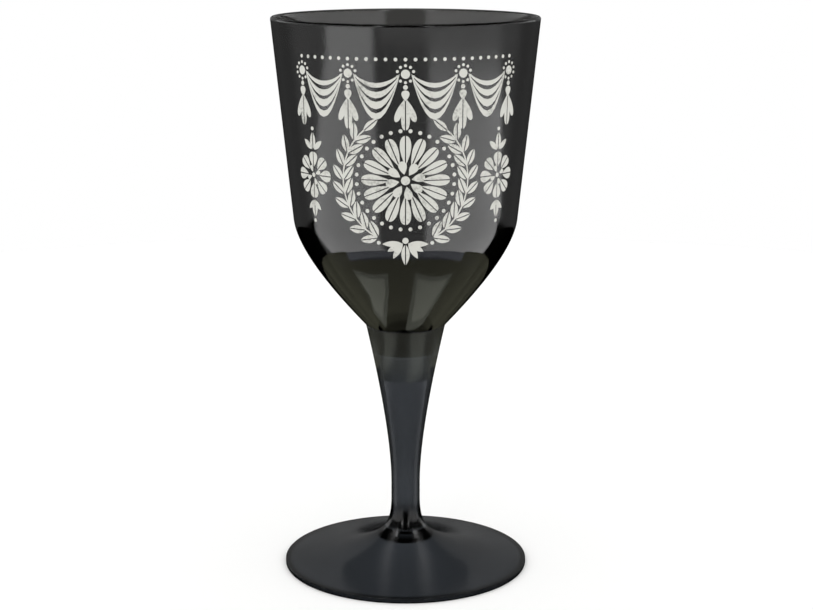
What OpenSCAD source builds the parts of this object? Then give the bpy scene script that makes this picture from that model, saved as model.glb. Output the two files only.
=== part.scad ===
// Push-together goblet in smoked plastic: a bowl with a hollow tapered plug, a
// hollow stem, and a trumpet foot with a ribbed post. Sizes are in millimetres,
// Z is up and is the axis of every piece, and Z = 0 is the table.

/* [Foot] */
// Diameter of the foot
foot_d = 80; // [72:1:90]
// Height of the stem's seat above the table
foot_h = 12; // [10.5:0.5:14]
// Thickness of the foot's shell
foot_wall = 1.3; // [1:0.1:1.4]
// Height of the foot's outer edge
foot_edge_h = 1.5; // [1.4:0.1:2]
// Width of the flat ring that the foot stands on
foot_ring_w = 2; // [1.4:0.1:3]
// Radius at which the foot's slope is aimed before it turns up into the hub
foot_bend_r = 13; // [11:0.5:15]
// Height at which the foot's slope is aimed before it turns up into the hub
foot_bend_h = 5; // [4:0.25:6]
// Thickness of the plate that closes the hub
hub_plate = 1.8; // [1.2:0.1:2.2]
// Number of lugs under the hub, and of ribs along the post
lugs = 6; // [3:1:8]
// Radius out to which the lugs reach
lug_r = 8.8; // [8:0.1:9.6]
// Radius at which the lugs begin
lug_in_r = 5.6; // [4.6:0.1:6]
// Height of the lugs' lower faces above the table
lug_z = 8.2; // [7.4:0.1:8.6]
// Width of the slots between the lugs
lug_slot = 0.9; // [0.6:0.1:1.4]

/* [Post] */
// Height of the post above the stem's seat
post_h = 5.5; // [4.5:0.5:9]
// Diameter of the post's core
post_core_d = 4.2; // [3.4:0.1:4.8]
// Thickness of a rib along the post
post_rib_t = 1.5; // [1:0.1:1.8]
// Clearance between the post's ribs and the stem's bore
post_clear = 0.05; // [0.03:0.01:0.09]

/* [Stem] */
// Length of the stem, from its seat on the foot to the bowl's shoulder
stem_h = 69; // [60:1:80]
// Diameter at the stem's lower end
stem_end_d = 14; // [12:0.5:16]
// Diameter at the waist
waist_d = 9.4; // [9:0.1:10.6]
// Height above the seat at which the waist begins
waist_h = 10; // [8:0.5:12]
// Length of the straight waist
waist_l = 5; // [4:0.5:8]
// Height above the waist at which the flare towards the bowl is aimed
stem_aim_h = 18; // [14:1:22]
// Diameter at the bowl's shoulder
shoulder_d = 25.8; // [25.2:0.2:29]
// Wall of the hollow stem above its waist
stem_wall = 1.9; // [1.5:0.1:2.1]
// Diameter of the bore that takes the post
bore_d = 6; // [5.4:0.1:6.2]

/* [Bowl] */
// Height of the bowl, from its shoulder to its lip
bowl_h = 99; // [92:1:115]
// Diameter of the lip
lip_d = 85; // [78:1:94]
// Diameter at the knee
knee_d = 71.8; // [68:0.2:76]
// Height of the knee above the shoulder
knee_h = 35; // [32:1:38]
// Height above the shoulder at which the lower bowl's curve is aimed
bowl_aim_h = 23.5; // [21:0.5:26]
// Wall of the bowl
bowl_wall = 1.5; // [1.2:0.1:2]

/* [Plug] */
// Diameter of the plug at the shoulder
plug_d = 20.2; // [19:0.2:21.4]
// Diameter of the plug at its end
plug_end_d = 18.4; // [16.4:0.2:18.6]
// Length of the plug
plug_h = 9; // [7:0.5:10]
// Wall and floor of the plug
plug_wall = 1.2; // [0.9:0.1:1.5]
// Clearance between the plug and the stem's socket
plug_clear = 0.05; // [0.03:0.01:0.09]
// Room left under the plug's end
plug_room = 1; // [0.6:0.1:2]

/* [Hidden] */

smoke = [0.16, 0.16, 0.16, 0.75];
smoke_dark = [0.10, 0.11, 0.12, 0.95];

curve_n = 18;      // steps along a curve of an outline
corner_n = 5;      // steps round a corner
edge_r = 0.3;      // rounding of a moulded edge
well_r = 0.9;      // rounding of the corners in the plug's well
lip_share = 0.46;  // rounding of the lip, as a share of the bowl's wall
post_lead = 0.8;   // lead-in at the post's top
past = 1;          // how far a cut runs past the face that it opens

// Radii and heights that the pieces share.
foot_r = foot_d / 2;
seat_r = stem_end_d / 2;
waist_r = waist_d / 2;
bore_r = bore_d / 2;
core_r = post_core_d / 2;
shoulder_r = shoulder_d / 2;
knee_r = knee_d / 2;
lip_r = lip_d / 2;
post_r = bore_r - post_clear;

post_z = foot_h + post_h;
waist_z = foot_h + waist_h;
waist_top_z = waist_z + waist_l;
shoulder_z = foot_h + stem_h;
knee_z = shoulder_z + knee_h;
lip_z = shoulder_z + bowl_h;
plug_z = shoulder_z - plug_h;
socket_z = plug_z - plug_room;
well_z = plug_z + plug_wall;
ledge_z = shoulder_z + plug_wall;
hub_root_z = foot_h - hub_plate / 2;

// How fast the foot rises into the hub; the stem's end carries the rise on.
hub_rise = (foot_h - foot_bend_h) / (foot_bend_r - seat_r);
// How fast the bowl widens with height above its knee.
bowl_taper = (lip_r - knee_r) / (lip_z - knee_z);

// Ends and aims of the outer curves, as [radius, height].
foot_edge = [foot_r, foot_edge_h];
foot_bend = [foot_bend_r, foot_bend_h];
foot_hub = [seat_r, foot_h];
stem_end_aim = [waist_r, foot_h + (seat_r - waist_r) * hub_rise];
waist_low = [waist_r, waist_z];
waist_top = [waist_r, waist_top_z];
stem_aim = [waist_r, waist_top_z + stem_aim_h];
shoulder = [shoulder_r, shoulder_z];
bowl_aim = [knee_r - (knee_h - bowl_aim_h) * bowl_taper, shoulder_z + bowl_aim_h];
knee = [knee_r, knee_z];
lip = [lip_r, lip_z];
lip_inside = [lip_r - bowl_wall * norm([1, bowl_taper]), lip_z];

// Radius of the plug's taper at height z.
function plug_at(z) = (plug_end_d + (plug_d - plug_end_d) * (z - plug_z) / plug_h) / 2;
// The same taper with the socket's clearance, and inside the plug's wall.
function socket_point(z) = [plug_at(z) + plug_clear, z];
function well_point(z) = [plug_at(z) - plug_wall, z];

// A quadratic curve from a to c, aimed at b, moved to its left by beside.
function curve(a, b, c, beside = 0) =
    [for (i = [0:curve_n])
        let (t = i / curve_n,
             p = (1 - t) * (1 - t) * a + 2 * t * (1 - t) * b + t * t * c,
             d = (1 - t) * (b - a) + t * (c - b))
        p + beside * [-d.y, d.x] / norm(d)];

// The corner at b between a and c, rounded to radius r.
function corner(a, b, c, r) =
    let (u = (a - b) / norm(a - b),
         v = (c - b) / norm(c - b),
         half = acos(u * v) / 2,
         centre = b + (u + v) / norm(u + v) * r / sin(half),
         start = b + u * r / tan(half) - centre,
         end = b + v * r / tan(half) - centre,
         turn = sign(start.x * end.y - start.y * end.x) * (180 - 2 * half))
    [for (i = [0:corner_n])
        let (g = turn * i / corner_n)
        centre + [start.x * cos(g) - start.y * sin(g), start.x * sin(g) + start.y * cos(g)]];

// Where the line from a to b is at height z.
function point_at(a, b, z) = a + (b - a) * (z - a.y) / (b.y - a.y);

// The part of a rising curve that lies below or above height z, cut off on it.
function below(points, z) =
    [for (i = [0:len(points) - 1])
        if (points[i].y < z) points[i]
        else if (i > 0 && points[i - 1].y < z) point_at(points[i - 1], points[i], z)];
function above(points, z) =
    [for (i = [0:len(points) - 1])
        if (points[i].y > z) points[i]
        else if (i < len(points) - 1 && points[i + 1].y > z) point_at(points[i], points[i + 1], z)];

function reverse(points) = [for (i = [len(points) - 1:-1:0]) points[i]];
function rest(points) = [for (i = [1:len(points) - 1]) points[i]];

module lathe(points) {
    rotate_extrude($fn = 96) polygon(points);
}

// Plates that stand out from the axis, evenly spaced, with one to the front.
module plates(t, r, z0, z1) {
    for (i = [0:lugs - 1])
        rotate([0, 0, 360 * i / lugs - 90])
            translate([0, -t / 2, z0])
                cube([r, t, z1 - z0]);
}

// The space under the foot's upper face and inset from it.
module foot_core(inset) {
    lathe(concat([[0, 0], [foot_r - inset, 0]],
                 curve(foot_edge, foot_bend, foot_hub, inset),
                 [[0, foot_h - inset]]));
}

module foot_shell() {
    difference() {
        lathe(concat([[0, 0]],
                     corner([0, 0], [foot_r, 0], foot_edge, edge_r),
                     corner([foot_r, 0], foot_edge, foot_bend, edge_r),
                     rest(curve(foot_edge, foot_bend, foot_hub)),
                     [[0, foot_h]]));
        intersection() {
            lathe(concat([[0, -past], [foot_r, -past]],
                         curve(foot_edge, foot_bend, foot_hub, foot_wall),
                         [[0, foot_h]]));
            translate([0, 0, -past])
                cylinder(r = foot_r - foot_ring_w, h = foot_h - hub_plate + past, $fn = 96);
        }
    }
}

// A ring of lugs under the hub, with a slot on either side of the front one.
module lug_ring() {
    difference() {
        intersection() {
            translate([0, 0, lug_z]) cylinder(r = lug_r, h = hub_root_z - lug_z, $fn = 96);
            foot_core(foot_wall / 2);
        }
        translate([0, 0, lug_z - past]) cylinder(r = lug_in_r, h = foot_h, $fn = 96);
        rotate([0, 0, 180 / lugs]) plates(lug_slot, lug_r + past, lug_z - past, foot_h);
    }
}

module foot() {
    color(smoke_dark) {
        foot_shell();
        lug_ring();
        translate([0, 0, hub_root_z]) cylinder(r = core_r, h = post_z - hub_root_z, $fn = 48);
        intersection() {
            plates(post_rib_t, bore_r, hub_root_z, post_z);
            lathe([[0, hub_root_z], [post_r, hub_root_z], [post_r, post_z - post_lead],
                   [post_r - post_lead, post_z], [0, post_z]]);
        }
    }
}

module stem() {
    seat_edge = [seat_r, foot_h];
    hollow = below(curve(waist_top, stem_aim, shoulder, stem_wall), socket_z);
    color(smoke_dark)
        lathe(concat(
            corner([bore_r, waist_z], [bore_r, foot_h], seat_edge, edge_r),
            corner([bore_r, foot_h], seat_edge, stem_end_aim, edge_r),
            rest(curve(seat_edge, stem_end_aim, waist_low)),
            below(curve(waist_top, stem_aim, shoulder), shoulder_z - edge_r),
            corner(stem_aim, shoulder, [0, shoulder_z], edge_r),
            corner(shoulder, socket_point(shoulder_z), socket_point(socket_z), edge_r),
            [socket_point(socket_z)],
            [for (p = reverse(hollow)) [max(p.x, bore_r), p.y]]));
}

module bowl() {
    inside = above(curve(shoulder, bowl_aim, knee, bowl_wall), ledge_z);
    color(smoke)
        lathe(concat(
            [[0, plug_z]],
            corner([0, plug_z], [plug_end_d / 2, plug_z], [plug_d / 2, shoulder_z], edge_r),
            [[plug_d / 2, shoulder_z]],
            corner([0, shoulder_z], shoulder, bowl_aim, edge_r),
            rest(curve(shoulder, bowl_aim, knee)),
            corner(knee, lip, lip_inside, lip_share * bowl_wall),
            corner(lip, lip_inside, [knee_r - bowl_wall, knee_z], lip_share * bowl_wall),
            reverse(inside),
            corner(inside[0], well_point(ledge_z), well_point(well_z), well_r),
            corner(well_point(ledge_z), well_point(well_z), [0, well_z], well_r),
            [[0, well_z]]));
}

foot();
stem();
bowl();
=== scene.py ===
"""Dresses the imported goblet: smoked plastic pieces, a printed ornament, and a plain studio.

The bowl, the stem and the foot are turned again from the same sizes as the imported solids, with
finer curves, and stand in for them. Sizes are in millimetres until a mesh is made, in metres.
"""
import logging
import math
from dataclasses import dataclass, field
from enum import Enum
from typing import Any

import bmesh
import bpy
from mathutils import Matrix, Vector


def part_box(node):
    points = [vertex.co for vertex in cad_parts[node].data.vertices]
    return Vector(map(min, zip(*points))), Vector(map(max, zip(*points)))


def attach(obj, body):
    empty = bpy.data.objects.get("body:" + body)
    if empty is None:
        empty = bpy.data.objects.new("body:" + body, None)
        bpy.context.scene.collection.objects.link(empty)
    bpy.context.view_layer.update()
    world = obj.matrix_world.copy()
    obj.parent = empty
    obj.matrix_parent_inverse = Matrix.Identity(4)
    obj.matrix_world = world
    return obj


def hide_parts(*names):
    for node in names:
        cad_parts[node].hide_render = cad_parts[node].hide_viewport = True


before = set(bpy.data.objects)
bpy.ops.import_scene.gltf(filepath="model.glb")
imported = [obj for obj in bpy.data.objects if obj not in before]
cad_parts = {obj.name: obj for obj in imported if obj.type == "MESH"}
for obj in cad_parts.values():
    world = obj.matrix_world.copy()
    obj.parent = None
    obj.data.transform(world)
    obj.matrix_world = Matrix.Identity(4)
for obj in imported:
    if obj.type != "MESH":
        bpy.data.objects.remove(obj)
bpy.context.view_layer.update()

LOG = logging.getLogger("goblet")
MM = 0.001
MATH = "ShaderNodeMath"
VECTOR = "ShaderNodeVectorMath"


def linear(colour: str) -> tuple[float, float, float, float]:
    """Turns an sRGB hex colour into the linear colour that a shader takes.

    Args:
        colour: The colour as "#RRGGBB".

    Returns:
        Red, green, blue and an alpha of 1.
    """
    shares = [int(colour[i:i + 2], 16) / 255 for i in (1, 3, 5)]
    red, green, blue = [s / 12.92 if s <= 0.04045 else ((s + 0.055) / 1.055) ** 2.4 for s in shares]
    return red, green, blue, 1.0


def add(tree: bpy.types.NodeTree, kind: str, inputs: dict[Any, Any] | None = None,
        **settings: Any) -> bpy.types.Node:
    """Adds a node, sets it up and links it.

    Args:
        tree: The node tree.
        kind: Blender's name for the kind of node.
        inputs: What goes into each input, by its name or number: a value, a socket, or a node
            whose first output is meant.
        **settings: Properties of the node itself.

    Returns:
        The new node.
    """
    node = tree.nodes.new(kind)
    for name, value in settings.items():
        setattr(node, name, value)
    for key, value in (inputs or {}).items():
        if isinstance(value, bpy.types.Node):
            value = value.outputs[0]
        if isinstance(value, bpy.types.NodeSocket):
            tree.links.new(value, node.inputs[key])
        else:
            node.inputs[key].default_value = value
    return node


def blank(name: str) -> tuple[bpy.types.Material, bpy.types.NodeTree]:
    """Makes a material with an empty node tree.

    Args:
        name: The material's name.

    Returns:
        The material and its tree.
    """
    made = bpy.data.materials.new(name)
    made.use_nodes = True
    made.node_tree.nodes.clear()
    return made, made.node_tree


def placed(name: str, data: Any) -> bpy.types.Object:
    """Puts a mesh or a camera into the scene, at the origin.

    Args:
        name: The new object's name.
        data: What it shows.

    Returns:
        The object.
    """
    made = bpy.data.objects.new(name, data)
    bpy.context.scene.collection.objects.link(made)
    return made


def point(radius: float, height: float) -> Vector:
    """Returns a point of a section, from its radius and its height in millimetres."""
    return Vector((radius, height))


def curve(start: Vector, aim: Vector, end: Vector, beside: float = 0.0, steps: int = 40) -> list[Vector]:
    """Works out a quadratic curve, or the curve that runs beside it.

    Args:
        start: Where the curve starts.
        aim: The point that both of its ends aim at.
        end: Where the curve ends.
        beside: How far to its left the points lie.
        steps: How many steps the curve takes.

    Returns:
        The points, from start to end.
    """
    points = []
    for i in range(steps + 1):
        t = i / steps
        place = (1 - t) ** 2 * start + 2 * t * (1 - t) * aim + t * t * end
        way = ((1 - t) * (aim - start) + t * (end - aim)).normalized()
        points.append(place + beside * Vector((-way.y, way.x)))
    return points


def corner(before: Vector, tip: Vector, after: Vector, radius: float, steps: int = 6) -> list[Vector]:
    """Rounds the corner at tip, with a point held close to each end so that flats shade flat.

    Args:
        before: A point on the way in.
        tip: The sharp corner.
        after: A point on the way out.
        radius: The rounding's radius.
        steps: How many steps the rounding takes.

    Returns:
        The points from the way in to the way out.
    """
    back, on = (before - tip).normalized(), (after - tip).normalized()
    half = back.angle(on) / 2
    reach = radius / math.tan(half)
    centre = tip + (back + on).normalized() * radius / math.sin(half)
    start, end = tip + back * reach - centre, tip + on * reach - centre
    turn = math.copysign(math.pi - 2 * half, start.x * end.y - start.y * end.x)
    arc = []
    for i in range(steps + 1):
        angle = turn * i / steps
        arc.append(centre + Vector((
            start.x * math.cos(angle) - start.y * math.sin(angle),
            start.x * math.sin(angle) + start.y * math.cos(angle),
        )))
    hold = min(0.4 * radius, 0.2)       # how far the points held on the flats lie from the rounding
    return [arc[0] + back * hold, *arc, arc[-1] + on * hold]


def below(points: list[Vector], height: float) -> list[Vector]:
    """Cuts a rising curve off at a height.

    Args:
        points: The curve.
        height: The height.

    Returns:
        The part that lies below the height, with a point on the cut.
    """
    kept = [p for p in points if p.y < height]
    if len(kept) < len(points):
        last, first = kept[-1], points[len(kept)]
        kept.append(last.lerp(first, (height - last.y) / (first.y - last.y)))
    return kept


def above(points: list[Vector], height: float) -> list[Vector]:
    """Cuts a rising curve off at a height.

    Args:
        points: The curve.
        height: The height.

    Returns:
        The part that lies above the height, with a point on the cut.
    """
    kept = [p for p in points if p.y > height]
    if len(kept) < len(points):
        last, first = points[len(points) - len(kept) - 1], kept[0]
        kept.insert(0, last.lerp(first, (height - last.y) / (first.y - last.y)))
    return kept


def span(node: str) -> tuple[Vector, Vector]:
    """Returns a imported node's lowest and highest corners in millimetres."""
    low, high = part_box(node)
    return Vector(low) / MM, Vector(high) / MM


@dataclass(frozen=True)
class SmokedPlastic:
    """Polystyrene, injection moulded and smoked: glossy, with reflections on a dark depth.

    The dye sits in the whole wall, so one wall is a dark grey glass and two walls look black.
    Flow from the gate leaves long, faint waves that bend the reflections of straight edges, and
    handling leaves a patchy haze.
    """

    name: str
    skin: str = "#FFFFFF"       # colour that a wall's two surfaces let through, whatever its thickness
    tint: str = "#868582"       # colour that a little of the wall lets through
    depth: float = 2.65         # how strongly a millimetre of wall dims the other colours
    index: float = 1.57
    gloss: float = 0.05         # roughness of the clean surface
    haze: float = 0.05          # how much rougher it is where it has been handled
    haze_mm: float = 14.0       # size of a hazy patch
    haze_span: tuple[float, float] = (0.35, 0.65)   # noise between which the haze sets in
    wave_mm: float = 26.0       # length of the flow waves
    wave_depth_mm: float = 0.02

    def material(self) -> bpy.types.Material:
        """Builds the finish.

        Returns:
            The material.
        """
        made, tree = blank(self.name)
        place = add(tree, "ShaderNodeTexCoord").outputs["Object"]
        waves = add(tree, "ShaderNodeTexNoise", {
            "Vector": place, "Scale": 1 / (self.wave_mm * MM), "Detail": 1.0,
        })
        bump = add(tree, "ShaderNodeBump", {
            "Height": waves, "Strength": 1.0, "Distance": self.wave_depth_mm * MM,
        })
        patches = add(tree, "ShaderNodeTexNoise", {
            "Vector": place, "Scale": 1 / (self.haze_mm * MM), "Detail": 2.0,
        })
        roughness = add(tree, "ShaderNodeMapRange", {
            0: patches, 1: self.haze_span[0], 2: self.haze_span[1], 3: self.gloss, 4: self.gloss + self.haze,
        })
        shader = add(tree, "ShaderNodeBsdfPrincipled", {
            "Base Color": linear(self.skin), "Roughness": roughness, "IOR": self.index,
            "Transmission Weight": 1.0, "Normal": bump,
        })
        depth = add(tree, "ShaderNodeVolumeAbsorption", {
            "Color": linear(self.tint), "Density": self.depth / MM,
        })
        add(tree, "ShaderNodeOutputMaterial", {"Surface": shader, "Volume": depth})
        return made


@dataclass(frozen=True)
class ScreenInk:
    """Opaque off-white screen ink, cured matt, with small worn flecks where it has rubbed."""

    name: str = "off_white_screen_ink"
    colour: str = "#C9C9C2"
    worn: str = "#94948E"
    fleck_mm: float = 0.7       # size of a worn fleck
    cloud_mm: float = 9.0       # size of the patches where the ink lies thinner
    worn_span: tuple[float, float] = (0.27, 0.42)   # noise between which the ink wears off
    worn_share: float = 0.9     # how far a fleck goes to the worn colour
    roughness: float = 0.55
    mesh_mm: float = 0.3        # the screen's mesh, drawn at twice its pitch so that it can show
    mesh_depth_mm: float = 0.02
    mesh_strength: float = 0.5

    def material(self) -> bpy.types.Material:
        """Builds the finish.

        Returns:
            The material.
        """
        made, tree = blank(self.name)
        place = add(tree, "ShaderNodeTexCoord").outputs["Object"]
        flecks = add(tree, "ShaderNodeTexNoise", {
            "Vector": place, "Scale": 1 / (self.fleck_mm * MM), "Detail": 3.0,
        })
        clouds = add(tree, "ShaderNodeTexNoise", {
            "Vector": place, "Scale": 1 / (self.cloud_mm * MM), "Detail": 2.0,
        })
        rubbed = add(tree, MATH, {0: flecks, 1: clouds}, operation="MULTIPLY")
        worn = add(tree, "ShaderNodeMapRange", {
            0: rubbed, 1: self.worn_span[0], 2: self.worn_span[1], 3: 0.0, 4: self.worn_share,
        })
        colour = add(tree, "ShaderNodeMix", {
            0: worn, 6: linear(self.colour), 7: linear(self.worn),
        }, data_type="RGBA")
        threads = add(tree, "ShaderNodeTexNoise", {
            "Vector": place, "Scale": 1 / (self.mesh_mm * MM), "Detail": 1.0,
        })
        bump = add(tree, "ShaderNodeBump", {
            "Height": threads, "Strength": self.mesh_strength, "Distance": self.mesh_depth_mm * MM,
        })
        shader = add(tree, "ShaderNodeBsdfPrincipled", {
            "Base Color": colour.outputs[2], "Roughness": self.roughness, "Normal": bump,
        })
        add(tree, "ShaderNodeOutputMaterial", {"Surface": shader})
        return made


class Recipe:
    """A geometry node tree that turns a few points into a finished mesh."""

    def __init__(self, name: str, **inputs: str) -> None:
        """Starts a tree with a geometry input, a finish and the given inputs.

        Args:
            name: The tree's name.
            **inputs: Each further input's name, and its kind of socket.
        """
        self.tree = bpy.data.node_groups.new(name, "GeometryNodeTree")
        sockets = {"Geometry": "NodeSocketGeometry", "Finish": "NodeSocketMaterial", **inputs}
        for title, kind in sockets.items():
            self.tree.interface.new_socket(title, in_out="INPUT", socket_type=kind)
        self.tree.interface.new_socket("Geometry", in_out="OUTPUT", socket_type="NodeSocketGeometry")
        self.given = self.add("NodeGroupInput").outputs

    def add(self, kind: str, inputs: dict[Any, Any] | None = None, **settings: Any) -> bpy.types.Node:
        """Adds a node to the recipe's tree and returns it."""
        return add(self.tree, kind, inputs, **settings)

    def end(self, geometry: Any) -> None:
        """Closes the tree with real geometry in the given finish.

        Args:
            geometry: The node or socket that gives the geometry.
        """
        real = self.add("GeometryNodeRealizeInstances", {"Geometry": geometry})
        dressed = self.add("GeometryNodeSetMaterial", {"Geometry": real, "Material": self.given["Finish"]})
        self.add("NodeGroupOutput", {"Geometry": dressed})

    def make(self, name: str, start: bpy.types.Mesh, **values: Any) -> bpy.types.Object:
        """Runs the tree on a mesh and keeps its result as a plain one.

        Args:
            name: The new piece's name.
            start: The mesh that the tree starts from.
            **values: What each named input is set to.

        Returns:
            A piece at the origin that holds the finished mesh and no modifier.
        """
        holder = placed(f"{name}_start", start)
        modifier = holder.modifiers.new("recipe", "NODES")
        modifier.node_group = self.tree
        for item in self.tree.interface.items_tree:
            if item.in_out == "INPUT" and item.name in values:
                modifier[item.identifier] = values[item.name]
        result = holder.evaluated_get(bpy.context.evaluated_depsgraph_get())
        mesh = bpy.data.meshes.new_from_object(result)
        holder.modifiers.remove(modifier)
        bpy.data.objects.remove(holder)
        mesh.name = name
        return placed(name, mesh)


class Turning(Recipe):
    """Turns a section's points about the Z axis into a closed body."""

    WELD_MM = 0.0005

    def __init__(self) -> None:
        """Builds the tree."""
        super().__init__("turned_body", Facets="NodeSocketInt")
        facets, section = self.given["Facets"], self.given["Geometry"]
        count = self.add("GeometryNodeAttributeDomainSize", {"Geometry": section}).outputs["Point Count"]
        columns = self.add(MATH, {0: facets, 1: 1.0}, operation="ADD")
        sheet = self.add("GeometryNodeMeshGrid", {"Vertices X": count, "Vertices Y": columns})
        share = self.add(MATH, {0: self.add("GeometryNodeInputIndex"), 1: columns}, operation="DIVIDE")
        row = self.add(MATH, {0: share}, operation="FLOOR")
        turn = self.add(MATH, {0: self.add("GeometryNodeInputIndex"), 1: columns}, operation="FLOORED_MODULO")
        place = self.add("GeometryNodeSampleIndex", {
            "Geometry": section, "Value": self.add("GeometryNodeInputPosition"), "Index": row,
        }, data_type="FLOAT_VECTOR")
        step = self.add(MATH, {0: math.tau, 1: facets}, operation="DIVIDE")
        turned = self.add("ShaderNodeVectorRotate", {
            "Vector": place, "Angle": self.add(MATH, {0: turn, 1: step}, operation="MULTIPLY"),
        }, rotation_type="Z_AXIS")
        shaped = self.add("GeometryNodeSetPosition", {"Geometry": sheet, "Position": turned})
        self.end(self.add("GeometryNodeMergeByDistance", {"Geometry": shaped, "Distance": self.WELD_MM * MM}))

    def turn(self, name: str, section: list[Vector], facets: int,
             finish: bpy.types.Material) -> bpy.types.Object:
        """Turns a section into a finished body.

        Args:
            name: The piece's name.
            section: The section's points in millimetres, from the axis or closed on itself.
            facets: How many facets go round the body.
            finish: Its material.

        Returns:
            The piece.
        """
        mesh = bpy.data.meshes.new(f"{name}_section")
        mesh.from_pydata([(p.x * MM, 0.0, p.y * MM) for p in section], [], [])
        return settle(self.make(name, mesh, Facets=facets, Finish=finish))


class Ribbing(Recipe):
    """Sets copies of a rib round the Z axis and joins them to a body."""

    def __init__(self) -> None:
        """Builds the tree."""
        super().__init__("ribbed_body", Rib="NodeSocketObject", Count="NodeSocketInt")
        step = self.add(MATH, {0: math.tau, 1: self.given["Count"]}, operation="DIVIDE")
        seats = self.add("GeometryNodeMeshLine", {"Count": self.given["Count"], "Offset": (0.0, 0.0, 0.0)})
        angle = self.add(MATH, {
            0: self.add("GeometryNodeInputIndex"), 1: step, 2: -math.pi / 2,
        }, operation="MULTIPLY_ADD")
        rib = self.add("GeometryNodeObjectInfo", {"Object": self.given["Rib"]})
        copies = self.add("GeometryNodeInstanceOnPoints", {
            "Points": seats, "Instance": rib.outputs["Geometry"],
            "Rotation": self.add("ShaderNodeCombineXYZ", {"Z": angle}),
        })
        ribs = self.add("GeometryNodeRealizeInstances", {"Geometry": copies})
        both = self.add("GeometryNodeJoinGeometry", {"Geometry": ribs})
        self.tree.links.new(self.given["Geometry"], both.inputs[0])
        self.end(self.add("GeometryNodeMeshBoolean", {
            "Mesh 2": both, "Self Intersection": True,
        }, operation="UNION", solver="EXACT"))

    def join(self, body: bpy.types.Object, rib: bpy.types.Object, count: int,
             finish: bpy.types.Material) -> bpy.types.Object:
        """Joins copies of a rib to a body, and uses both up.

        Args:
            body: The body.
            rib: One rib, which stands out along X.
            count: How many ribs go round the body.
            finish: The material of the whole.

        Returns:
            The ribbed body, under the body's name.
        """
        name = body.name
        body.name = f"{name}_plain"
        ribbed = self.make(name, body.data, Rib=rib, Count=count, Finish=finish)
        bpy.data.objects.remove(body)
        bpy.data.objects.remove(rib)
        return settle(ribbed)


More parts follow.
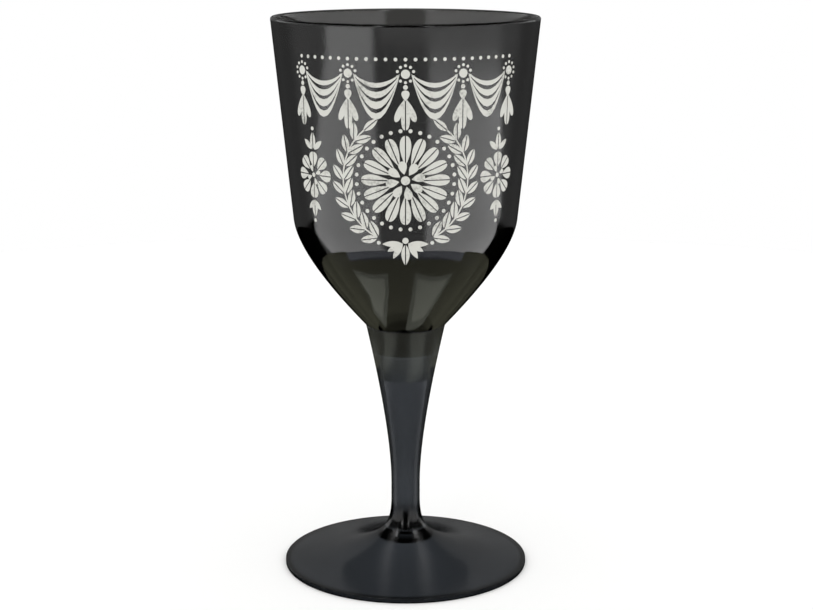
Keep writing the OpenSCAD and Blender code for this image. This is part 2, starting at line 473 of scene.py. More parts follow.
class Wrapping(Recipe):
    """Shapes flat marks, wraps them on the front of a bowl and gives them the body of ink.

    Each point of the start mesh is one mark, with its sizes as attributes. A mark is a blade
    that grows along its length, swells as the powers at its root and its tip say, sags to one
    side as a rope does, and is then turned by its angle.
    """

    SIZES = ("length", "reach", "lean", "sag", "angle", "root", "tip")
    WELD_MM = 0.0001

    def __init__(self, bowl: "Bowl", cells_along: int = 14, cells_across: int = 2) -> None:
        """Builds the tree.

        Args:
            bowl: The bowl, which gives the radius at each height.
            cells_along: How many cells a mark has along its length.
            cells_across: How many cells it has across.
        """
        super().__init__("screen_print", Bowl="NodeSocketObject", Lift="NodeSocketFloat",
                         Thickness="NodeSocketFloat")
        marks = self.cells(cells_along, cells_across)
        size = {
            name: self.add("GeometryNodeInputNamedAttribute", {"Name": name}, data_type="FLOAT")
            for name in (*self.SIZES, "along", "across")
        }
        flat = self.flat(size)
        seat = self.add("GeometryNodeInputNamedAttribute", {"Name": "seat"}, data_type="FLOAT_VECTOR")
        laid = self.add(VECTOR, {0: flat, 1: seat}, operation="ADD")
        wrapped = self.add("GeometryNodeSetPosition", {
            "Geometry": marks, "Position": self.on_bowl(laid, bowl),
        })
        base = self.add("GeometryNodeMergeByDistance", {"Geometry": wrapped, "Distance": self.WELD_MM * MM})
        face = self.add("GeometryNodeExtrudeMesh", {
            "Mesh": base, "Offset Scale": self.given["Thickness"], "Individual": False,
        })
        both = self.add("GeometryNodeJoinGeometry", {"Geometry": face})
        self.tree.links.new(self.add("GeometryNodeFlipFaces", {"Mesh": base}).outputs[0], both.inputs[0])
        self.end(self.add("GeometryNodeMergeByDistance", {"Geometry": both, "Distance": self.WELD_MM * MM}))

    def cells(self, along: int, across: int) -> bpy.types.Node:
        """Adds the nodes that give each mark its sheet of cells.

        Args:
            along: How many cells a mark has along its length.
            across: How many cells it has across.

        Returns:
            The node that gives the sheets.
        """
        sheet = self.add("GeometryNodeMeshGrid", {
            "Size X": 1.0, "Size Y": 2.0, "Vertices X": along + 1, "Vertices Y": across + 1,
        })
        flat = self.add("ShaderNodeSeparateXYZ", {"Vector": self.add("GeometryNodeInputPosition")})
        turn = self.add(MATH, {0: flat.outputs["X"], 1: math.pi, 2: math.pi / 2}, operation="MULTIPLY_ADD")
        eased = self.add(MATH, {
            0: self.add(MATH, {0: turn}, operation="COSINE"), 1: -0.5, 2: 0.5,
        }, operation="MULTIPLY_ADD")
        for name, value in (("along", eased), ("across", flat.outputs["Y"])):
            sheet = self.add("GeometryNodeStoreNamedAttribute", {
                "Geometry": sheet, "Name": name, "Value": value,
            }, data_type="FLOAT", domain="POINT")
        copies = self.add("GeometryNodeInstanceOnPoints", {
            "Points": self.given["Geometry"], "Instance": sheet,
        })
        return self.add("GeometryNodeRealizeInstances", {"Geometry": copies})

    def flat(self, size: dict[str, bpy.types.Node]) -> bpy.types.Node:
        """Adds the nodes that shape a mark about its root, while it is flat.

        Args:
            size: The node that reads each of a mark's sizes, by the size's name.

        Returns:
            The node that gives the place of each of the mark's points.
        """
        left = self.add(MATH, {0: 1.0, 1: size["along"]}, operation="SUBTRACT")
        swell = self.add(MATH, {
            0: self.add(MATH, {0: size["along"], 1: size["root"]}, operation="POWER"),
            1: self.add(MATH, {0: left, 1: size["tip"]}, operation="POWER"),
        }, operation="MULTIPLY")
        half = self.add(MATH, {0: size["reach"], 1: swell}, operation="MULTIPLY")
        side = self.add(MATH, {0: size["across"], 1: size["lean"]}, operation="ADD")
        rope = self.add(MATH, {0: size["along"], 1: left}, operation="MULTIPLY")
        droop = self.add(MATH, {    # the rope's value is a quarter at its middle
            0: self.add(MATH, {0: rope, 1: size["sag"]}, operation="MULTIPLY"), 1: -4.0,
        }, operation="MULTIPLY")
        shaped = self.add("ShaderNodeCombineXYZ", {
            "X": self.add(MATH, {0: size["length"], 1: size["along"]}, operation="MULTIPLY"),
            "Y": self.add(MATH, {0: half, 1: side, 2: droop}, operation="MULTIPLY_ADD"),
        })
        return self.add("ShaderNodeVectorRotate", {"Vector": shaped, "Angle": size["angle"]},
                        rotation_type="Z_AXIS")

    def on_bowl(self, laid: bpy.types.Node, bowl: "Bowl") -> bpy.types.Node:
        """Adds the nodes that carry a flat place on to the bowl.

        Args:
            laid: The node that gives the flat place.
            bowl: The bowl, which gives the radius at each height.

        Returns:
            The node that gives the place on the bowl.
        """
        flat = self.add("ShaderNodeSeparateXYZ", {"Vector": laid})
        top = bowl.lip_z
        radius = self.add("ShaderNodeMapRange", {
            "Value": flat.outputs["Y"], "From Min": 0.0, "From Max": top * MM,
            "To Min": bowl.wall_radius(0.0) * MM, "To Max": bowl.wall_radius(top) * MM,
        }, clamp=False)
        azimuth = self.add(MATH, {0: flat.outputs["X"], 1: radius}, operation="DIVIDE")
        far = bowl.lip_d * MM
        start = self.add("ShaderNodeVectorRotate", {
            "Vector": self.add("ShaderNodeCombineXYZ", {"Y": -far, "Z": flat.outputs["Y"]}), "Angle": azimuth,
        }, rotation_type="Z_AXIS")
        inward = self.add("ShaderNodeVectorRotate", {
            "Vector": (0.0, 1.0, 0.0), "Angle": azimuth,
        }, rotation_type="Z_AXIS")
        target = self.add("GeometryNodeObjectInfo", {"Object": self.given["Bowl"]})
        hit = self.add("GeometryNodeRaycast", {
            "Target Geometry": target.outputs["Geometry"], "Source Position": start,
            "Ray Direction": inward, "Ray Length": far,
        })
        back = self.add(MATH, {0: self.given["Lift"], 1: -1.0}, operation="MULTIPLY")
        lift = self.add(VECTOR, {0: inward, "Scale": back}, operation="SCALE")
        return self.add(VECTOR, {0: hit.outputs["Hit Position"], 1: lift}, operation="ADD")


def settle(piece: bpy.types.Object, sharp_from: float = 40.0) -> bpy.types.Object:
    """Points a closed piece's faces outwards and shades it smooth, except over sharp edges.

    Args:
        piece: The piece.
        sharp_from: The least angle of a sharp edge, in degrees.

    Returns:
        The same piece.
    """
    mesh = piece.data
    work = bmesh.new()
    work.from_mesh(mesh)
    bmesh.ops.recalc_face_normals(work, faces=work.faces)
    if work.calc_volume(signed=True) < 0:
        bmesh.ops.reverse_faces(work, faces=work.faces)
    open_edges = sum(not e.is_manifold for e in work.edges)
    work.to_mesh(mesh)
    work.free()
    mesh.shade_smooth()
    mesh.set_sharp_from_angle(angle=math.radians(sharp_from))
    LOG.info("%s: %d faces, %d open edges", piece.name, len(mesh.polygons), open_edges)
    return piece


def hand_over(piece: bpy.types.Object, node: str) -> bpy.types.Object:
    """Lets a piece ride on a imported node's body and stand in for the node.

    Args:
        piece: The piece.
        node: The node's name.

    Returns:
        The same piece.
    """
    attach(piece, node)
    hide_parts(node)
    return piece


@dataclass
class Bowl:
    """The tapered bowl, with the hollow plug under it."""

    turning: Turning
    finish: SmokedPlastic
    facets: int = 224
    lip_d: float = 85.0
    knee_d: float = 71.8
    knee_h: float = 35.0        # over the shoulder, as is the next
    aim_h: float = 23.5         # height of the point that both ends of the lower curve aim at
    shoulder_d: float = 25.8
    wall: float = 1.5
    lip_share: float = 0.46     # rounding of the lip, as a share of the wall
    plug_d: float = 20.2
    plug_end_d: float = 18.4
    plug_h: float = 9.0
    plug_wall: float = 1.2
    edge_r: float = 0.3
    well_r: float = 0.9
    low: float = field(init=False)
    lip_z: float = field(init=False)
    shoulder_z: float = field(init=False)
    knee_z: float = field(init=False)
    taper: float = field(init=False)

    def __post_init__(self) -> None:
        """Takes the bowl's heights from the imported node."""
        self.low, self.lip_z = (corner.z for corner in span("bowl"))
        self.shoulder_z = self.low + self.plug_h
        self.knee_z = self.shoulder_z + self.knee_h
        self.taper = (self.lip_d - self.knee_d) / 2 / (self.lip_z - self.knee_z)

    def plug_at(self, height: float) -> float:
        """Returns the radius of the plug's taper at a height."""
        return (self.plug_end_d + (self.plug_d - self.plug_end_d) * (height - self.low) / self.plug_h) / 2

    def wall_radius(self, height: float) -> float:
        """Returns the radius of the straight wall, carried on past the knee, at a height."""
        return self.knee_d / 2 + self.taper * (height - self.knee_z)

    def section(self) -> list[Vector]:
        """Works out the section.

        Returns:
            Its points, from the plug's floor up the outside and down the inside.
        """
        shoulder = point(self.shoulder_d / 2, self.shoulder_z)
        aim_z = self.shoulder_z + self.aim_h
        aim, knee = point(self.wall_radius(aim_z), aim_z), point(self.knee_d / 2, self.knee_z)
        lip = point(self.lip_d / 2, self.lip_z)
        lip_inside = point(lip.x - self.wall * math.hypot(1, self.taper), self.lip_z)
        root = point(self.plug_d / 2, self.shoulder_z)
        ledge_z, well_z = self.shoulder_z + self.plug_wall, self.low + self.plug_wall
        well_top = point(self.plug_at(ledge_z) - self.plug_wall, ledge_z)
        well_end = point(self.plug_at(well_z) - self.plug_wall, well_z)
        inside = above(curve(shoulder, aim, knee, self.wall), ledge_z)
        return [
            point(0, self.low),
            *corner(point(0, self.low), point(self.plug_end_d / 2, self.low), root, self.edge_r),
            root,
            *corner(root, shoulder, aim, self.edge_r),
            *curve(shoulder, aim, knee)[1:],
            *corner(knee, lip, lip_inside, self.lip_share * self.wall),
            *corner(lip, lip_inside, inside[-1], self.lip_share * self.wall),
            *reversed(inside),
            *corner(inside[0], well_top, well_end, self.well_r),
            *corner(well_top, well_end, point(0, well_z), self.well_r),
            point(0, well_z),
        ]

    def build(self) -> bpy.types.Object:
        """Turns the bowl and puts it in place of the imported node."""
        piece = self.turning.turn("bowl_shell", self.section(), self.facets, self.finish.material())
        return hand_over(piece, "bowl")


@dataclass
class Stem:
    """The hollow flared stem, with a socket for the plug and a bore for the post."""

    turning: Turning
    finish: SmokedPlastic
    bowl: Bowl
    facets: int = 144
    end_d: float = 14.0
    end_aim_h: float = 2.7      # height at which the foot's rise, carried on, meets the waist
    waist_d: float = 9.4
    waist_h: float = 10.0
    waist_l: float = 5.0
    aim_h: float = 18.0
    wall: float = 1.9
    bore_d: float = 6.0
    edge_r: float = 0.3
    socket_clear: float = 0.05
    plug_room: float = 1.0

    def section(self) -> list[Vector]:
        """Works out the closed section.

        Returns:
            Its points, from the bore's mouth up the outside and down the inside.
        """
        low_z, top_z = (corner.z for corner in span("stem"))
        waist_r, bore_r = self.waist_d / 2, self.bore_d / 2
        mouth, seat_edge = point(bore_r, low_z), point(self.end_d / 2, low_z)
        end_aim, waist_low = point(waist_r, low_z + self.end_aim_h), point(waist_r, low_z + self.waist_h)
        waist_top = point(waist_r, waist_low.y + self.waist_l)
        aim, shoulder = point(waist_r, waist_top.y + self.aim_h), point(self.bowl.shoulder_d / 2, top_z)
        socket_z = self.bowl.low - self.plug_room
        rim = point(self.bowl.plug_at(top_z) + self.socket_clear, top_z)
        socket_end = point(self.bowl.plug_at(socket_z) + self.socket_clear, socket_z)
        hollow = below(curve(waist_top, aim, shoulder, self.wall), socket_z)
        section = [
            *corner(point(bore_r, waist_low.y), mouth, seat_edge, self.edge_r),
            *corner(mouth, seat_edge, end_aim, self.edge_r),
            *curve(seat_edge, end_aim, waist_low)[1:],
            *below(curve(waist_top, aim, shoulder), top_z - 2 * self.edge_r),
            *corner(aim, shoulder, point(0, top_z), self.edge_r),
            *corner(shoulder, rim, socket_end, self.edge_r),
            socket_end,
            *[point(max(p.x, bore_r), p.y) for p in reversed(hollow)],
        ]
        return [*section, section[0]]

    def build(self) -> bpy.types.Object:
        """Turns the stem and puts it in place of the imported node."""
        piece = self.turning.turn("stem_tube", self.section(), self.facets, self.finish.material())
        return hand_over(piece, "stem")


@dataclass
class Foot:
    """The trumpet foot, with a ring of lugs under its hub and a short ribbed post for the stem."""

    turning: Turning
    ribbing: Ribbing
    finish: SmokedPlastic
    facets: int = 192
    seat_r: float = 7.0
    seat_z: float = 12.0
    wall: float = 1.3
    edge_h: float = 1.5
    ring_w: float = 2.0
    bend_r: float = 13.0
    bend_h: float = 5.0
    hub_plate: float = 1.8
    lugs: int = 6               # and as many ribs along the post
    lug_r: float = 8.8
    lug_in_r: float = 5.6
    lug_z: float = 8.2
    lug_slot: float = 0.9
    core_r: float = 2.1
    post_r: float = 2.95
    post_rib_t: float = 1.5
    post_lead: float = 0.8
    edge_r: float = 0.3
    shy: float = 0.02           # how far a rib's end stays inside the core's, so that they join cleanly
    foot_r: float = field(init=False)
    post_z: float = field(init=False)

    def __post_init__(self) -> None:
        """Takes the foot's radius and the post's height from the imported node."""
        high = span("foot")[1]
        self.foot_r, self.post_z = high.x, high.z

    def slope(self, beside: float = 0.0) -> list[Vector]:
        """Returns the foot's slope from its edge up to its seat, or a curve that runs under it."""
        edge, seat = point(self.foot_r, self.edge_h), point(self.seat_r, self.seat_z)
        return curve(edge, point(self.bend_r, self.bend_h), seat, beside)

    def section(self) -> list[Vector]:
        """Works out the section of the shell and the post's core.

        Returns:
            Its points, from the roof over the axis down the inside and up the outside.
        """
        roof_z = self.seat_z - self.hub_plate
        under = below([p for p in self.slope(self.wall) if p.x < self.foot_r - self.ring_w], roof_z)
        ring, toe = point(self.foot_r - self.ring_w, 0), point(self.foot_r, 0)
        edge = point(self.foot_r, self.edge_h)
        return [
            point(0, roof_z),
            *reversed(under),
            point(ring.x, under[0].y),
            ring,
            *corner(ring, toe, edge, self.edge_r),
            *corner(toe, edge, point(self.bend_r, self.bend_h), self.edge_r),
            *self.slope()[1:],
            point(self.core_r, self.seat_z),
            point(self.core_r, self.post_z),
            point(0, self.post_z),
        ]

    def solid(self, name: str, rows: list[list[Vector]]) -> bpy.types.Object:
        """Makes a closed solid that is carried on from one outline to the next.

        Args:
            name: The solid's name.
            rows: The outlines in millimetres, each with the same number of corners.

        Returns:
            The solid.
        """
        count = len(rows[0])
        faces = [list(range(count)), list(range(count * (len(rows) - 1), count * len(rows)))]
        for row in range(len(rows) - 1):
            for i in range(count):
                here, on = row * count + i, row * count + (i + 1) % count
                faces.append([here, on, on + count, here + count])
        mesh = bpy.data.meshes.new(name)
        mesh.from_pydata([corner * MM for outline in rows for corner in outline], [], faces)
        return settle(placed(name, mesh))

    def lug(self, steps: int = 12) -> bpy.types.Object:
        """Makes the lug that lies along X, with its sides parallel to the slots beside it.

        Args:
            steps: How many steps go round it from side to side.

        Returns:
            The lug.
        """
        root_z = self.seat_z - self.hub_plate / 2
        roof = below([p for p in self.slope(self.wall / 2) if p.x < self.lug_r], root_z)
        outline = [
            point(self.lug_in_r, self.lug_z), point(self.lug_r, self.lug_z), point(self.lug_r, roof[0].y),
            *roof, point(self.lug_in_r, root_z),
        ]
        rows = []
        for i in range(steps + 1):
            share = 2 * i / steps - 1
            turns = [share * (math.pi / self.lugs - math.asin(self.lug_slot / 2 / p.x)) for p in outline]
            rows.append([
                Vector((p.x * math.cos(turn), p.x * math.sin(turn), p.y)) for p, turn in zip(outline, turns)
            ])
        return self.solid("hub_lug", rows)

    def post_rib(self) -> bpy.types.Object:
        """Makes a rib that runs up the post, along X.

        Returns:
            The rib.
        """
        root_z, end_z = self.seat_z - self.hub_plate / 2, self.post_z - self.shy
        half = self.post_rib_t / 2
        tip, inner_r = math.sqrt(self.post_r ** 2 - half ** 2), self.core_r / 2
        outline = [
            point(inner_r, root_z), point(tip, root_z), point(tip, end_z - self.post_lead),
            point(tip - self.post_lead, end_z), point(inner_r, end_z),
        ]
        return self.solid("post_rib", [[Vector((p.x, y, p.y)) for p in outline] for y in (-half, half)])

    def build(self) -> bpy.types.Object:
        """Turns the shell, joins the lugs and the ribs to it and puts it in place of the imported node.

        Returns:
            The foot.
        """
        finish = self.finish.material()
        piece = self.turning.turn("foot_shell", self.section(), self.facets, finish)
        for rib in (self.lug(), self.post_rib()):
            piece = self.ribbing.join(piece, rib, self.lugs, finish)
        return hand_over(piece, "foot")


class Shape(Enum):
    """A mark's ends, as the powers at its root and its tip: 0 is square, 0.5 round, 1 pointed."""

    BAR = (0.0, 0.0)
    DISC = (0.5, 0.5)
    LEAF = (0.9, 1.0)
    PETAL = (1.0, 0.5)
    DROP = (0.5, 1.0)
    ROPE = (0.7, 0.7)


@dataclass(frozen=True)
class Mark:
    """One solid mark of the print, in millimetres and degrees, laid out flat."""

    shape: Shape
    x: float
    y: float
    angle: float
    length: float
    width: float
    sag: float = 0.0
    lean: float = 0.0           # -1 or 1 for the right or left half of a split blade

    def sizes(self) -> dict[str, float]:
        """Works out the sizes that the wrapping reads.

        Returns:
            Each size in metres or radians, by its name.
        """
        root, tip = self.shape.value
        whole = root + tip
        fullest = (root / whole) ** root * (tip / whole) ** tip if whole else 1.0
        return {
            "length": self.length * MM, "reach": self.width / 2 / fullest * MM, "lean": self.lean,
            "sag": self.sag * MM, "angle": math.radians(self.angle), "root": root, "tip": tip,
        }


@dataclass
class PrintedOrnament:
    """A screen print of a garland, a flower between leafy branches, and smaller flowers.

    It is laid out flat in millimetres: x runs round the bowl from its front, to the right, and y
    is the height above the table.
    """

    bowl: Bowl
    finish: ScreenInk
    thickness: float = 0.05
    lift: float = 0.012
    split: float = 0.34         # width of the clear line down a split blade
    garland_z: float = 165.5
    swags: int = 4
    swag_l: float = 17.6
    folds: tuple[tuple[float, float], ...] = ((3.4, 1.4), (5.8, 1.9), (8.4, 2.2), (11.2, 1.9))  # sag, width
    fold_inset: tuple[float, float] = (1.6, 0.15)   # of the first fold's ends, and how much more for each
    fold_drop: float = 0.5      # of each fold's ends under those of the fold before
    stud_d: float = 2.7
    stud_beads: tuple[float, int, float] = (2.5, 10, 0.9)       # their circle's radius, count and diameter
    row_dots: tuple[float, int, float] = (4.3, 6, 1.1)      # rise over the studs, count to a swag, diameter
    tassel_drop: float = 3.6    # from the stud's centre
    knot_d: float = 1.4
    tassel_cap: tuple[float, float] = (3.2, 2.4)    # length and width, as all sizes of blades
    tassel_strand: tuple[float, float] = (9.2, 2.6)
    tassel_side: tuple[float, float] = (7.2, 2.0)
    tassel_lean: float = 21.0
    centre_z: float = 133.5
    flower_r: float = 13.6
    flower_petals: int = 16
    petal_root: float = 0.36    # where the outer petals start, as a share of the flower's radius
    petal_fill: float = 0.648   # a petal's width, as a share of its room on the flower's circle
    inner_root: float = 0.14    # shares of the flower's radius, as are the next two
    inner_petal: tuple[float, float] = (0.3, 0.19)
    button_share: float = 0.2
    ring_beads: tuple[float, int, float] = (1.5, 32, 1.2)       # gap to the petals, count and diameter
    branch_r: float = 19.6
    stalk_w: float = 0.45
    stalk_lap: float = 1.05     # how much longer a step of the stalk is than its share of the curve
    leaf: tuple[float, float] = (5.2, 2.5)
    leaf_lean: float = 36.0
    leaf_off: float = 0.4       # from the stalk's middle to a leaf's root
    end_leaf: tuple[float, float] = (5.4, 2.3)
    side_x: float = 31.5
    side_r: float = 7.2
    side_petals: int = 8
    side_rise: tuple[float, float, float] = (8.2, 8.0, 14.4)    # of the middle leaf, outer ones and dot
    side_leaf: tuple[float, float] = (5.0, 2.4)
    side_outer: tuple[float, float] = (4.4, 1.8)
    side_lean: float = 50.0
    pendant_drop: float = 19.0
    pendant_knot: float = 1.9
    pendant_leaf: tuple[float, float] = (6.6, 2.6)
    pendant_sides: tuple[tuple[float, float], ...] = ((30, 6.0), (60, 5.4), (88, 6.2))      # lean and length
    pendant_side_w: float = 1.9
    pendant_dots: tuple[tuple[float, float, float], ...] = ((8.2, -0.4, 1.2), (10.2, 0.3, 0.9))
    marks: list[Mark] = field(default_factory=list)

    def put(self, shape: Shape, x: float, y: float, angle: float, length: float, width: float,
            sag: float = 0.0) -> None:
        """Adds a mark whose root is at a point and which grows along an angle."""
        self.marks.append(Mark(shape, x, y, angle, length, width, sag))

    def put_split(self, shape: Shape, x: float, y: float, angle: float, length: float, width: float) -> None:
        """Adds a blade with a clear line down its middle.

        Args:
            shape: Its ends.
            x: Its root's place round the bowl.
            y: Its root's height.
            angle: The way it grows, in degrees.
            length: Its length.
            width: Its width.
        """
        way = math.radians(angle)
        for lean in (-1, 1):
            shift = lean * self.split / 2
            self.marks.append(Mark(
                shape, x - shift * math.sin(way), y + shift * math.cos(way), angle, length,
                (width - self.split) / 2, lean=lean,
            ))

    def dot(self, x: float, y: float, size: float) -> None:
        """Adds a round dot of a given diameter."""
        self.put(Shape.DISC, x - size / 2, y, 0, size, size)

    def dots_round(self, x: float, y: float, radius: float, count: int, size: float) -> None:
        """Adds dots on a circle, evenly spaced.

        Args:
            x: The circle's centre round the bowl.
            y: The centre's height.
            radius: The circle's radius.
            count: How many dots there are.
            size: A dot's diameter.
        """
        for i in range(count):
            way = math.tau * (i + 0.5) / count
            self.dot(x + radius * math.cos(way), y + radius * math.sin(way), size)

    def garland(self) -> None:
        """Lays out the swags, the studs that hold them up, and a row of dots above."""
        half = self.swags * self.swag_l / 2
        for i in range(self.swags):
            for fold, (sag, width) in enumerate(self.folds):
                inset = self.fold_inset[0] + self.fold_inset[1] * fold
                end_z = self.garland_z - self.fold_drop * fold
                self.put(Shape.ROPE, i * self.swag_l - half + inset, end_z, 0,
                         self.swag_l - 2 * inset, width, sag)
        for i in range(self.swags + 1):
            x = i * self.swag_l - half
            self.dot(x, self.garland_z, self.stud_d)
            self.dots_round(x, self.garland_z, *self.stud_beads)
            self.tassel(x, self.garland_z - self.tassel_drop)
        rise, to_a_swag, size = self.row_dots
        steps = self.swags * to_a_swag
        for i in range(steps + 1):
            self.dot((i / steps - 0.5) * 2 * half, self.garland_z + rise, size)

    def tassel(self, x: float, top: float) -> None:
        """Lays out one tassel.

        Args:
            x: Its place round the bowl.
            top: The height that it hangs from.
        """
        cap_z, strands_z = top - 1.2, top - 3.9
        self.dot(x, top - 0.3, self.knot_d)
        self.put(Shape.DROP, x, cap_z, -90, *self.tassel_cap)
        self.put_split(Shape.PETAL, x, strands_z, -90, *self.tassel_strand)
        for side in (-1, 1):
            angle = side * self.tassel_lean - 90
            self.put(Shape.PETAL, x + 0.35 * side, strands_z, angle, *self.tassel_side)

    def flower(self, x: float, y: float, outer: float, petals: int) -> None:
        """Lays out a flower with split outer petals, plain inner ones and a button.

        Args:
            x: The centre's place round the bowl.
            y: The centre's height.
            outer: The flower's radius.
            petals: How many outer petals it has.
        """
        for i in range(petals):
            angle = 90 + 360 * i / petals
            way = math.radians(angle)
            root = self.petal_root * outer
            self.put_split(Shape.PETAL, x + root * math.cos(way), y + root * math.sin(way),
                           angle, outer - root, self.petal_fill * math.tau * outer / petals)
        for i in range(petals // 2):
            angle = 90 + 720 * (i + 0.25) / petals
            way = math.radians(angle)
            root = self.inner_root * outer
            self.put(Shape.PETAL, x + root * math.cos(way), y + root * math.sin(way),
                     angle, *(share * outer for share in self.inner_petal))
        self.dot(x, y, self.button_share * outer)

    def branch(self, side: int, low: float = -64.0, high: float = 50.0, pairs: int = 9) -> None:
        """Lays out one of the two leafy branches that curve up round the flower.

        Args:
            side: -1 for the left branch and 1 for the right one.
            low: Where the branch starts, in degrees above the flower's level.
            high: Where it ends.
            pairs: How many pairs of leaves it has.
        """
        stalk_steps = 3 * pairs
        stalk_l = self.branch_r * math.radians(high - low) / stalk_steps
        for i in range(stalk_steps + 1):
            turn = low + (high - low) * i / stalk_steps
            way = math.radians(turn)
            x, y = side * self.branch_r * math.cos(way), self.centre_z + self.branch_r * math.sin(way)
            angle = 90 + side * turn
            if i == stalk_steps:
                self.put_split(Shape.LEAF, x, y, angle, *self.end_leaf)
                break
            self.put(Shape.BAR, x, y, angle, self.stalk_lap * stalk_l, self.stalk_w)
            if i % 3 == 0:
                for lean in (-1, 1):
                    aside = math.radians(angle + 90 * lean)
                    root_x, root_y = x + self.leaf_off * math.cos(aside), y + self.leaf_off * math.sin(aside)
                    self.put_split(Shape.LEAF, root_x, root_y, angle + self.leaf_lean * lean, *self.leaf)

    def side_flower(self, x: float) -> None:
        """Lays out one of the two flowers beside the branches, with leaves above and below.

        Args:
            x: Its place round the bowl.
        """
        self.flower(x, self.centre_z, self.side_r, self.side_petals)
        for up in (-1, 1):
            middle_z, outer_z, dot_z = (self.centre_z + up * rise for rise in self.side_rise)
            self.put_split(Shape.LEAF, x, middle_z, 90 * up, *self.side_leaf)
            for side in (-1, 1):
                angle = (90 + side * self.side_lean) * up
                self.put(Shape.LEAF, x - 0.5 * side * up, outer_z, angle, *self.side_outer)
            self.dot(x, dot_z, self.ring_beads[2])

    def pendant(self) -> None:
        """Lays out the leaves that hang under the branches."""
        top = self.centre_z - self.pendant_drop
        self.dot(0, top + 0.4, self.pendant_knot)
        self.put_split(Shape.LEAF, 0, top - 1.0, -90, *self.pendant_leaf)
        for side in (-1, 1):
            for lean, length in self.pendant_sides:
                root_z = top - 0.2 - 0.004 * lean
                self.put(Shape.LEAF, side * 0.9, root_z, side * lean - 90, length, self.pendant_side_w)
            for x, rise, size in self.pendant_dots:
                self.dot(side * x, top + rise, size)

    def points(self) -> bpy.types.Mesh:
        """Makes the points that the wrapping starts from.

        Returns:
            A mesh with a point for each mark, which carries the mark's sizes.
        """
        places = [(m.x * MM, m.y * MM, 0.0) for m in self.marks]
        mesh = bpy.data.meshes.new("print_marks")
        mesh.from_pydata(places, [], [])
        seats = mesh.attributes.new("seat", "FLOAT_VECTOR", "POINT")
        seats.data.foreach_set("vector", [v for place in places for v in place])
        rows = [mark.sizes() for mark in self.marks]
        for name in Wrapping.SIZES:
            mesh.attributes.new(name, "FLOAT", "POINT").data.foreach_set("value", [row[name] for row in rows])
        return mesh

    def build(self, on: bpy.types.Object) -> bpy.types.Object:
        """Lays out the print, wraps it on the bowl's piece and makes it ride with the bowl.

        Args:
            on: The bowl's piece.

        Returns:
            The print.
        """
        self.garland()
        gap, count, size = self.ring_beads
        self.flower(0, self.centre_z, self.flower_r, self.flower_petals)
        self.dots_round(0, self.centre_z, self.flower_r + gap, count, size)
        for side in (-1, 1):
            self.branch(side)
            self.side_flower(side * self.side_x)
        self.pendant()
        piece = Wrapping(self.bowl).make(
            "printed_ornament", self.points(), Bowl=on, Lift=self.lift * MM,
            Thickness=self.thickness * MM, Finish=self.finish.material(),
        )
        for name in ("seat", "along", "across", *Wrapping.SIZES):
            piece.data.attributes.remove(piece.data.attributes[name])
        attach(settle(piece), "bowl")
        return piece


class Ray(Enum):
    """A kind of light ray, by the switch that lets it see an object."""

    CAMERA = "visible_camera"
    MATT = "visible_diffuse"
    GLOSS = "visible_glossy"
    THROUGH = "visible_transmission"
    SHADOW = "visible_shadow"


@dataclass(frozen=True)
class SoftBox:
    """A soft light or a bounce card, as a patch of the surroundings with blurred edges.

    Directions are in degrees. Azimuth 0 is behind the camera and grows to its right, to 180.
    Elevation is measured as it shows in a flared wall, where a level edge stays level all round.
    """

    azimuth: tuple[float, float]
    elevation: tuple[float, float]
    strength: float
    blur: float = 7.0           # of the upright edges
    soft: float = 2.0           # of the level edges
    flare: tuple[float, float] = (0.0, 0.0)     # how far the upright edges turn outwards further down

    def edge(self, tree: bpy.types.NodeTree, value: Any, limit: Any, blur: float) -> bpy.types.Node:
        """Returns the last of two nodes that rise from 0 to 1 as a value passes a limit."""
        past = add(tree, MATH, {0: value, 1: limit}, operation="SUBTRACT")
        return add(tree, "ShaderNodeMapRange", {0: past, 1: -blur / 2, 2: blur / 2},
                   interpolation_type="SMOOTHSTEP")

    def lit(self, tree: bpy.types.NodeTree, azimuth: Any, elevation: Any, lower: Any) -> bpy.types.Node:
        """Adds the nodes of the patch.

        Args:
            tree: The world's tree.
            azimuth: The direction's azimuth.
            elevation: Its elevation.
            lower: How far down the flare it is, from 0 to 1.

        Returns:
            The patch's radiance, as a node.
        """
        sides = [
            self.edge(tree, azimuth, add(tree, MATH, {0: lower, 1: turn, 2: limit}, operation="MULTIPLY_ADD"),
                      self.blur)
            for limit, turn in zip(self.azimuth, self.flare)
        ]
        ends = [self.edge(tree, elevation, limit, self.soft) for limit in self.elevation]
        wide = add(tree, MATH, {0: sides[0], 1: sides[1]}, operation="SUBTRACT")
        high = add(tree, MATH, {0: ends[0], 1: ends[1]}, operation="SUBTRACT")
        both = add(tree, MATH, {0: wide, 1: high}, operation="MULTIPLY")
        return add(tree, MATH, {0: both, 1: self.strength}, operation="MULTIPLY")


@dataclass(frozen=True)
class Arc:
    """A part of a level ring about the goblet, which lies alike on either side."""

    inner: float                # radii in millimetres
    outer: float
    start: float                # azimuths in degrees: 0 is the front and 180 the back
    end: float
    radiance: float = 0.0       # 0 is black cloth


